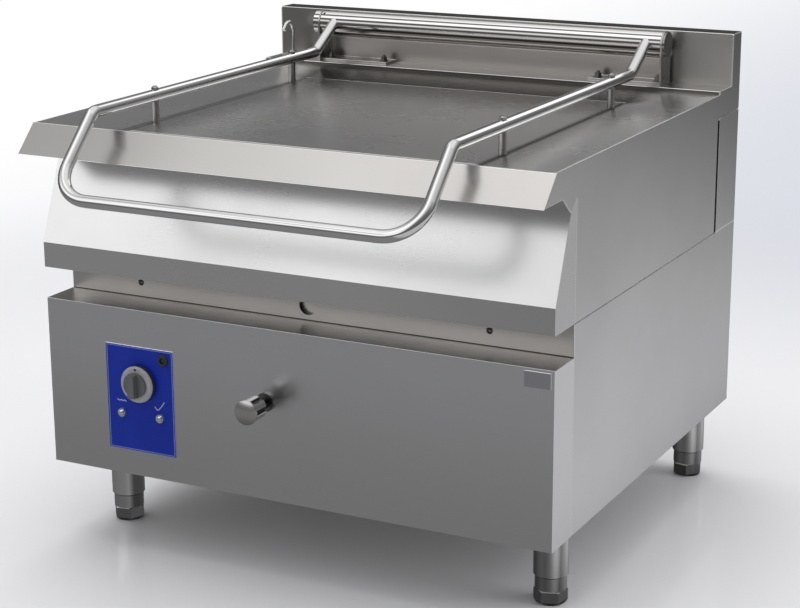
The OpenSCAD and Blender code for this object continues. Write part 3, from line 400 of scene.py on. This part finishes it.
def flute_shade(tree):
    """The bottoms of the valve knob's flutes, painted near black as shade."""
    across, up = off(tree, "X", VALVE_X), off(tree, "Z", VALVE_Z)
    square = calc(tree, "ADD", times(tree, across, across), times(tree, up, up))
    deep = ranged(tree, calc(tree, "SQRT", square), 1, 0, VALVE_FLUTE_R, VALVE_OUTER_R)
    return times(tree, deep, round_the_axis(tree))


def index_dot(tree):
    """The small dark dot at the top of the knob's ring."""
    return below(tree, distance(tree, INDEX_DOT), INDEX_R)


# Painted reflections: the upright bands of a round bright leg, as pairs of an angle round it and a
# brightness
LEFT_LEG_REFLECTIONS = [
    (-150, 0.30),
    (-125, 0.55),
    (-96, 0.68),
    (-70, 0.75),
    (-54, 0.95),
    (-42, 0.45),
    (-35, 0.22),
    (20, 0.24),
]
RIGHT_LEG_REFLECTIONS = [
    (-135, 0.03),
    (-112, 0.28),
    (-100, 0.38),
    (-86, 0.32),
    (-70, 0.52),
    (-56, 0.88),
    (-48, 0.80),
    (-35, 0.32),
    (-22, 0.52),
    (-5, 0.95),
    (60, 0.95),
]


# painted reflections: the left legs get the left bands, the right legs the right ones
def leg_reflections(tree):
    full = ranged(tree, round_z(tree), 0, 1, -180, 180)
    pair = [
        greys(tree, full, [((angle + 180) / 360, grey) for angle, grey in stops])
        for stops in (LEFT_LEG_REFLECTIONS, RIGHT_LEG_REFLECTIONS)
    ]
    return mixed(tree, right_half(tree), *pair)


def foot_glint(tree):
    """The light top edge of the hexagon, on its left front."""
    away = calc(tree, "ABSOLUTE", minus(tree, round_z(tree), -85))
    edge = within(tree, "Z", HEXAGON_TOP_Z - 0.0008, 0.0012)
    return times(tree, edge, below(tree, away, 32))


def sleeve_shade(tree):
    """The dark line under the leg's sleeve."""
    return within(tree, "Z", SHOULDER_TOP_Z - 0.0012, 0.0012)


def hexagon(low, high, top=HEXAGON_TOP_Z):
    """A mask of a foot's flats that face between two angles, up to a height, which the foot's look
    uses to paint light and shade on the flats.
    """

    def mask(tree):
        away = calc(tree, "ABSOLUTE", minus(tree, round_z(tree), (low + high) / 2))
        inside = below(tree, away, (high - low) / 2)
        return times(tree, inside, below(tree, part_of(tree, "Object", "Z"), top))

    return mask


# ---------------------------------------------------------------- looks
STEEL = (0.80, 0.80, 0.805)
# the sides' tone at the top, and the lighter tone of painted light low on the sides and on the front
# panel's side faces
SIDE_TOP = (0.62, 0.62, 0.625)
SIDE_LOW_LIT = (0.95, 0.945, 0.955)
FLAT = (0.90, 0.89, 0.885)
WARM = (0.74, 0.72, 0.70)
# the colour of painted shade in the creases and in the joint on top of the front panel
CREASE_SHADE = (0.10, 0.095, 0.09)
GLINT = (0.98, 0.98, 0.98)
BLACK = (0.01, 0.01, 0.01)

LOOKS = {
    "front": brushed(
        "front_steel",
        (0.88, 0.885, 0.91),
        0.30,
        # painted shade low on the panel and on its top faces; painted light on its side faces
        masks=[
            (low_part_shade, (0.72, 0.72, 0.725)),
            (sides, SIDE_LOW_LIT),
            (upward, (0.56, 0.54, 0.52)),
        ],
    ),
    "side": brushed(
        "side_steel",
        SIDE_TOP,
        0.32,
        grain="Y",
        # painted light low on the sides, weaker at the back; painted highlights on the folds;
        # painted shade, black, in the gap
        masks=[(low_side_light, SIDE_LOW_LIT), (rear_side, SIDE_TOP), (seam_highlight, GLINT), (gap_shade, BLACK)],
    ),
    "casing": brushed(
        "casing_front_steel",
        (0.88, 0.88, 0.885),
        0.26,
        tone=0.003,
        depth=0.002,
        # painted shade: darker on the right and on the side faces
        masks=[(right_part_shade, (0.77, 0.77, 0.775)), (sides, (0.70, 0.70, 0.705))],
    ),
    "lip": brushed(
        "lip_steel",
        (0.76, 0.74, 0.715),
        0.24,
        tone=0.004,
        # painted shade: darker towards the left and towards the right
        masks=[(lip_left_shade, (0.57, 0.555, 0.54)), (right_part_shade, (0.67, 0.65, 0.63))],
    ),
    "top": brushed(
        "rim_steel",
        FLAT,
        0.27,
        # painted light on the right of the rim; painted shade behind the lid and along its creases
        masks=[
            (rim_right_light, (0.96, 0.955, 0.95)),
            (behind_lid, (0.20, 0.19, 0.18)),
            (seat_crease, CREASE_SHADE),
            (rear_crease, CREASE_SHADE),
        ],
    ),
    "lid": brushed(
        "lid_steel",
        FLAT,
        0.27,
        tone=0.004,
        # painted shade towards the back of the lid and along its creases
        masks=[
            (lid_back_shade, (0.34, 0.325, 0.315)),
            (seat_crease, CREASE_SHADE),
            (rear_crease, CREASE_SHADE),
        ],
    ),
    # painted shade: black in the hole, dark along the joint at the bottom
    "sill": brushed("sill_steel", WARM, 0.32, masks=[(cup_wall_shade, BLACK), (sill_joint_shade, CREASE_SHADE)]),
    "splash": brushed(
        # painted shade: the top faces dark
        "splash_steel", (0.46, 0.45, 0.435), 0.30, masks=[(upward, (0.11, 0.105, 0.10))]
    ),
    # painted shade: the front of the rear ledge dark
    "ledge": brushed("ledge_steel", WARM, 0.30, masks=[(frontward, (0.17, 0.16, 0.15))]),
    # painted shade: the ends of the column's front are black in the gap
    "column": brushed("column_steel", SIDE_TOP, 0.32, masks=[(column_edge_shade, BLACK)]),
    "basin": brushed("basin_steel", STEEL, 0.36),
    "hinge": brushed("hinge_steel", (0.52, 0.50, 0.48), 0.28),
    "leg": brushed(
        # painted reflections: the leg's light and dark bands
        "leg_steel", BLACK, 0.20, grain="Z", masks=[(leg_reflections, (0.97, 0.97, 0.97))]
    ),
    "foot": brushed(
        "foot_steel",
        BLACK,
        0.26,
        grain="Z",
        # painted reflections round the foot; on the dark hexagon, painted light on the flats that
        # face the front and the right, painted shade at its bottom, a painted highlight on its top
        # edge; a painted shadow under the sleeve
        masks=[
            (leg_reflections, (0.70, 0.70, 0.70)),
            (hexagon(-180, 180), (0.09, 0.09, 0.09)),
            (hexagon(-100, -45), (0.24, 0.24, 0.245)),
            (hexagon(-45, 60), (0.31, 0.31, 0.315)),
            (hexagon(-180, 180, HEXAGON_CHAMFER), (0.07, 0.07, 0.07)),
            (foot_glint, GLINT),
            (sleeve_shade, BLACK),
        ],
    ),
    "tube": polished("tube_steel", (0.88, 0.88, 0.88), 0.04),
    "hinge_tube": brushed(
        "hinge_tube_steel",
        (0.97, 0.96, 0.95),
        0.08,
        # painted reflections: a darker lower half and dark lines along the tube; painted shade on
        # its right end
        masks=[
            (under, (0.62, 0.605, 0.59)),
            (reflection_line(46, 6), (0.14, 0.135, 0.13)),
            (reflection_line(24, 7), (0.13, 0.125, 0.12)),
            (reflection_line(7, 5), (0.38, 0.37, 0.36)),
            (reflection_line(-17, 9), (0.10, 0.095, 0.09)),
            (right_end_shade, (0.30, 0.29, 0.28)),
        ],
    ),
    "post": polished("post_steel", (0.42, 0.41, 0.40), 0.10),
    "stem": polished("stem_metal", (0.22, 0.215, 0.21), 0.25),
    "bright": polished("bright_metal", (0.95, 0.95, 0.96), 0.08),
    "bolt": polished("bolt_metal", (0.28, 0.27, 0.26), 0.20),
    "ring": painted(
        "ring_plastic",
        (0.40, 0.395, 0.41),
        0.40,
        pebble=900,
        depth=0.03,
        masks=[(round_the_axis, (0.04, 0.04, 0.045)), (index_dot, BLACK)],
    ),
    "valve": polished(
        "valve_metal",
        (0.66, 0.65, 0.64),
        0.20,
        # painted shade: darker on the lower half, near black in the flutes
        masks=[(knob_low_shade, (0.40, 0.39, 0.385)), (flute_shade, (0.05, 0.05, 0.05))],
    ),
    "badge": brushed("badge_metal", (0.62, 0.62, 0.68), 0.30),
    # the bevels' look, a brighter and glossier copy of the steel: painted highlights on the edges;
    # painted shade, black, in the gap
    "edge": polished("edge_highlight_metal", (0.98, 0.975, 0.97), 0.22, masks=[(gap_shade, BLACK)]),
    "frame": painted("frame_paint", (0.10, 0.105, 0.11), 0.5),
    "housing": painted("housing_paint", (0.16, 0.17, 0.185), 0.42),
    "blue": painted(
        "blue_enamel",
        (0.006, 0.028, 0.36),
        0.34,
        pebble=900,
        depth=0.03,
        shine=0.2,
        masks=[(border, (0.16, 0.20, 0.50))],
    ),
    "black": painted("black_plastic", (0.032, 0.036, 0.036), 0.38),
    "grip": painted("grip_plastic", (0.125, 0.13, 0.13), 0.34),
    "pale": painted("pale_plastic", (0.62, 0.60, 0.55), 0.45),
    "bronze": polished("bronze_metal", (0.55, 0.36, 0.14), 0.28),
    "sheath": painted("element_sheath", (0.06, 0.05, 0.045), 0.55),
    "mark": painted("mark_ink", (0.50, 0.55, 0.70), 0.5),
}

NODE_LOOKS = {
    "front": "front_panel",
    "side": "side_panel_left side_panel_right casing_left casing_right rear_panel",
    "column": "column_cover",
    "casing": "front_casing",
    "lip": "front_lip",
    "top": "pan_top",
    "lid": "lid_plate",
    "sill": "sill_strip",
    "splash": "backsplash",
    "ledge": "rear_casing",
    "basin": "basin base_floor",
    "hinge": "hinge_brackets hinge_base",
    "leg": "leg_sleeves",
    "foot": "foot_front_left foot_front_right foot_rear_left foot_rear_right",
    "tube": "lid_frame spout",
    "post": "lid_posts spout_base",
    "stem": "valve_spindle water_valve",
    "hinge_tube": "hinge_tube hinge_pins",
    "bright": "button_bezels heat_button tilt_button knob_spindle tilt_shaft "
    "actuator_rod cam_roller",
    "bolt": "hinge_bolts tube_bushes sill_screws",
    "ring": "knob_skirt",
    "valve": "valve_knob",
    "badge": "badge_plate",
    "frame": "base_frame trunnion_brackets pan_frame cam_plate",
    "housing": "actuator_housing actuator_motor power_box",
    "blue": "control_plate",
    "black": "reset_bezel reset_button switch_blocks",
    "grip": "knob_grip",
    "pale": "thermostat",
    "bronze": "trunnion_bushes water_inlet",
    "sheath": "heating_elements",
}
for look, names in NODE_LOOKS.items():
    for name in names.split():
        nodes[name].data.materials.clear()
        nodes[name].data.materials.append(LOOKS[look])

# ---------------------------------------------------------------- soft edges
EDGES = {
    0.0014: "pan_top rear_casing front_lip backsplash casing_left casing_right",
    0.0010: "front_panel side_panel_left side_panel_right front_casing",
    0.0006: "control_plate badge_plate hinge_base",
}
PLAIN_EDGES = "lid_plate hinge_brackets column_cover sill_strip"
PLAIN_WIDTH = 0.0006


def soften(name, width, bright=True):
    """Rounds a sheet's edges a little; if bright, the rounded edges get the edge look, a brighter
    and glossier copy of the steel, so that on top of what they reflect they carry painted
    highlights.

    The weld and the merge first join the triangles of each flat. The split keeps the folds crisp."""
    piece = nodes[name]
    weld = piece.modifiers.new("weld", "WELD")
    weld.merge_threshold = 0.00002
    merge = piece.modifiers.new("merge", "DECIMATE")
    merge.decimate_type = "DISSOLVE"
    merge.angle_limit = math.radians(0.5)
    bevel = piece.modifiers.new("bevel", "BEVEL")
    bevel.width = width
    bevel.segments = 2
    bevel.limit_method = "ANGLE"
    bevel.angle_limit = math.radians(25)
    if bright:
        piece.data.materials.append(LOOKS["edge"])
        bevel.material = 1
    split = piece.modifiers.new("split", "EDGE_SPLIT")
    split.split_angle = math.radians(8)
    piece.modifiers.new("flat", "WEIGHTED_NORMAL")


for width, names in EDGES.items():
    for name in names.split():
        soften(name, width)
for name in PLAIN_EDGES.split():
    soften(name, PLAIN_WIDTH, bright=False)


# ---------------------------------------------------------------- camera
def compass(azimuth, elevation):
    """A direction from the object: degrees from the front towards its right side, and up."""
    a, e = math.radians(azimuth), math.radians(elevation)
    return (math.sin(a) * math.cos(e), -math.cos(a) * math.cos(e), math.sin(e))


def aim(azimuth, elevation, roll):
    """The turn of a camera that looks at the object from a direction."""
    a, t = math.radians(azimuth), math.radians(roll)
    back = Vector(compass(azimuth, elevation))
    right = Vector((math.cos(a), math.sin(a), 0))
    up = back.cross(right)
    turned = right * math.cos(t) + up * math.sin(t)
    upright = up * math.cos(t) - right * math.sin(t)
    return Matrix((turned, upright, back)).transposed().to_4x4()


camera = bpy.data.objects.new("camera", bpy.data.cameras.new("camera"))
scene.collection.objects.link(camera)
stand = Matrix.Translation((1.6704, FRONT_Y - 2.7991, 1.4262))
camera.matrix_world = stand @ aim(azimuth=27.36, elevation=15.68, roll=-0.28)
camera.data.sensor_width = 36
camera.data.lens = 89.44
camera.data.clip_end = 60
scene.camera = camera

# ---------------------------------------------------------------- printed marks
PLATE_FRONT = Vector((PLATE_X, FRONT_Y - PLATE_T, PLATE_Z))
INK = 0.0002
STROKE = 0.0014


def mark(name, points, place):
    """A thin printed line on the control plate, through points given across and up in metres."""
    mesh = bpy.data.meshes.new(name)
    line = [Vector(p) for p in points]
    verts = []
    for i, p in enumerate(line):
        before = line[max(i - 1, 0)]
        after = line[min(i + 1, len(line) - 1)]
        step = (after - before).normalized()
        across = Vector((-step.y, step.x)) * STROKE / 2
        for q in (p + across, p - across):
            x, z = PLATE_FRONT.x + place[0] + q.x, PLATE_FRONT.z + place[1] + q.y
            verts += [(x, PLATE_FRONT.y - deep, z) for deep in (0, INK)]
    faces = []
    for a in range(0, 4 * (len(line) - 1), 4):
        b = a + 4
        faces += [(a + 1, a + 3, b + 3, b + 1), (a, a + 1, b + 1, b), (a + 3, a + 2, b + 2, b + 3)]
    mesh.from_pydata(verts, [], faces)
    piece = bpy.data.objects.new(name, mesh)
    scene.collection.objects.link(piece)
    mesh.materials.append(LOOKS["mark"])
    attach(piece, "base")


HEAT_PLACE = (-0.041, -0.006)  # beside the knob, from the plate's middle
TILT_PLACE = (0.041, -0.008)
wave = [(t * 0.001 - 0.010, 0.0010 * math.sin(t * 0.9)) for t in range(21)]
bowl = [(0.0007 * t - 0.011, 0.006 * math.cos(math.pi * (0.5 + t / 20))) for t in range(13)]
mark("heat_mark", wave, HEAT_PLACE)
mark("pan_mark", bowl, TILT_PLACE)
mark("lift_mark", [(-0.004, -0.006), (0.003, 0.001), (0.010, 0.011)], TILT_PLACE)

# ---------------------------------------------------------------- world
scene.view_settings.view_transform = "Standard"
scene.view_settings.look = "None"

PAPER = (0.90, 0.91, 0.93)  # what the camera sees beyond the floor
# Greys up each part of the sky, as pairs of the sine of the elevation and a brightness
FRONT_SKY = [(0, 0.18), (0.19, 0.18), (0.29, 1.10), (0.60, 1.05), (0.80, 0.90), (1, 0.85)]
DARK_SKY = [(0, 0.10), (0.60, 0.16), (0.85, 0.60), (1, 0.85)]  # at the front's right
LEFT_SKY = [(0, 0.10), (0.28, 0.12), (0.45, 0.20), (0.60, 0.30), (0.76, 0.75), (1, 0.88)]
RIGHT_SKY = [(0, 0.12), (0.20, 0.15), (0.40, 0.30), (0.60, 0.50), (0.80, 0.85), (1, 0.85)]
# What lights the matt surfaces: mostly from above, so that the floor under the body stays dark
MATT_SKY = [(0, 0.06), (0.25, 0.12), (0.60, 0.75), (0.80, 1.0), (1, 1.1)]
# Soft boxes and dark flags: azimuth, elevation, inner and outer half angles, brightness
BOXES = [
    (-78, 48, 4, 20, -0.40),
    (-92, 66, 3, 12, 0.35),
    (-38, 62, 5, 26, 0.30),
    (-35, 40, 2, 8, -0.55),
    (177, 27, 5, 16, 1.00),
]

world = bpy.data.worlds.new("studio")
world.use_nodes = True
scene.world = world
tree = world.node_tree
background = tree.nodes["Background"]
direction = node(tree, "ShaderNodeTexCoord").outputs["Generated"]
parts = node(tree, "ShaderNodeSeparateXYZ")
tree.links.new(direction, parts.inputs[0])
height = ranged(tree, parts.outputs["Z"], 0, 1, 0, 1)

to_right = rise(tree, parts.outputs["X"], -0.15, 0.20)
back_sky = mixed(tree, to_right, greys(tree, height, LEFT_SKY), greys(tree, height, RIGHT_SKY))
to_dark = rise(tree, parts.outputs["X"], 0.0, 0.35)
front_sky = mixed(tree, to_dark, greys(tree, height, FRONT_SKY), greys(tree, height, DARK_SKY))
total = mixed(tree, rise(tree, parts.outputs["Y"], -0.25, 0.05), front_sky, back_sky)
for azimuth, elevation, inner, outer, level in BOXES:
    dot = node(tree, "ShaderNodeVectorMath", operation="DOT_PRODUCT")
    tree.links.new(direction, dot.inputs[0])
    dot.inputs[1].default_value = compass(azimuth, elevation)
    start, end = (math.cos(math.radians(angle)) for angle in (outer, inner))
    add = node(tree, "ShaderNodeVectorMath", operation="ADD")
    tree.links.new(total, add.inputs[0])
    tree.links.new(rise(tree, dot.outputs["Value"], start, end, level), add.inputs[1])
    total = add.outputs["Vector"]
path = node(tree, "ShaderNodeLightPath")
shown = mixed(tree, path.outputs["Is Diffuse Ray"], total, greys(tree, height, MATT_SKY))
shown = mixed(tree, path.outputs["Is Camera Ray"], shown, PAPER)
tree.links.new(shown, background.inputs["Color"])
background.inputs["Strength"].default_value = 1.0


# ---------------------------------------------------------------- lights
def soft_light(name, place, target, size, energy):
    """A light that brightens the floor and the plastics; the metals mirror the world instead."""
    data = bpy.data.lights.new(name, "AREA")
    data.shape = "RECTANGLE"
    data.size, data.size_y = size
    data.energy = energy
    lamp = bpy.data.objects.new(name, data)
    scene.collection.objects.link(lamp)
    lamp.location = place
    heading = Vector(target) - Vector(place)
    lamp.rotation_euler = heading.to_track_quat("-Z", "Y").to_euler()
    lamp.visible_glossy = False


soft_light("front_box", (-2.1, -4.2, 2.6), (0, -0.2, 0.4), size=(3.6, 1.6), energy=12)
soft_light("top_box", (-0.8, 0.5, 3.2), (0, 0, 0), size=(3.4, 3.4), energy=78)
soft_light("right_fill", (3.6, 0.8, 2.0), (0.6, 0, 0.2), size=(2.4, 2.0), energy=40)

# ---------------------------------------------------------------- floor
REACH = 14
corners = [(-REACH, -REACH, 0), (REACH, -REACH, 0), (REACH, REACH, 0), (-REACH, REACH, 0)]
floor_mesh = bpy.data.meshes.new("floor")
floor_mesh.from_pydata(corners, [], [(0, 1, 2, 3)])
floor = bpy.data.objects.new("floor", floor_mesh)
scene.collection.objects.link(floor)
floor_mat, tree, shader = new_material("floor_gloss")
shader.inputs["Base Color"].default_value = (0.80, 0.80, 0.82, 1)
uneven = noise(tree, scale=2, detail=3)
tree.links.new(ranged(tree, uneven, 0.10, 0.14), shader.inputs["Roughness"])


def spread(tree, x, y, start, end):
    """0 to 1 with the distance from a point on the floor."""
    return rise(tree, distance(tree, (x, y, 0)), start, end)


# the backdrop: the floor turns into bright glowing paper away from the object, with painted light
# that makes it brighter towards the left
backdrop = node(tree, "ShaderNodeEmission")
paper = mixed(tree, along(tree, "X", 0.1, -3.2), (0.72, 0.735, 0.80), (1.0, 1.0, 1.0))
paper = mixed(tree, spread(tree, 0, 0, 8.5, 13.0), paper, PAPER)
tree.links.new(paper, backdrop.inputs["Color"])
sweep = node(tree, "ShaderNodeMixShader")
tree.links.new(spread(tree, 0, 0, 0.9, 3.2), sweep.inputs[0])
tree.links.new(shader.outputs[0], sweep.inputs[1])
tree.links.new(backdrop.outputs[0], sweep.inputs[2])

# what the metals mirror: a darker floor, with a pale patch on the right
patch = mixed(tree, spread(tree, 0.7, 0.5, 0.3, 2.4), (0.51, 0.51, 0.52), (0.49, 0.49, 0.49))
ahead = mixed(tree, along(tree, "X", 0.46, 0.74), (0.215, 0.215, 0.215), patch)
# and a dark floor far away, and behind the object left of a slanted line
slant = minus(
    tree,
    times(tree, part_of(tree, "Object", "X"), 0.888),
    times(tree, part_of(tree, "Object", "Y"), 0.46),
)
behind = times(tree, fade(tree, slant, -0.45, -0.12), along(tree, "Y", 0.55, 0.85))
dark = calc(tree, "MAXIMUM", behind, spread(tree, 0, 0, 5.0, 6.5))
mirror = node(tree, "ShaderNodeEmission")
tree.links.new(mixed(tree, dark, ahead, (0.05, 0.05, 0.05)), mirror.inputs["Color"])
path = node(tree, "ShaderNodeLightPath")
choice = node(tree, "ShaderNodeMixShader")
tree.links.new(path.outputs["Is Glossy Ray"], choice.inputs[0])
tree.links.new(sweep.outputs[0], choice.inputs[1])
tree.links.new(mirror.outputs[0], choice.inputs[2])
tree.links.new(choice.outputs[0], tree.nodes["Material Output"].inputs["Surface"])
floor_mesh.materials.append(floor_mat)
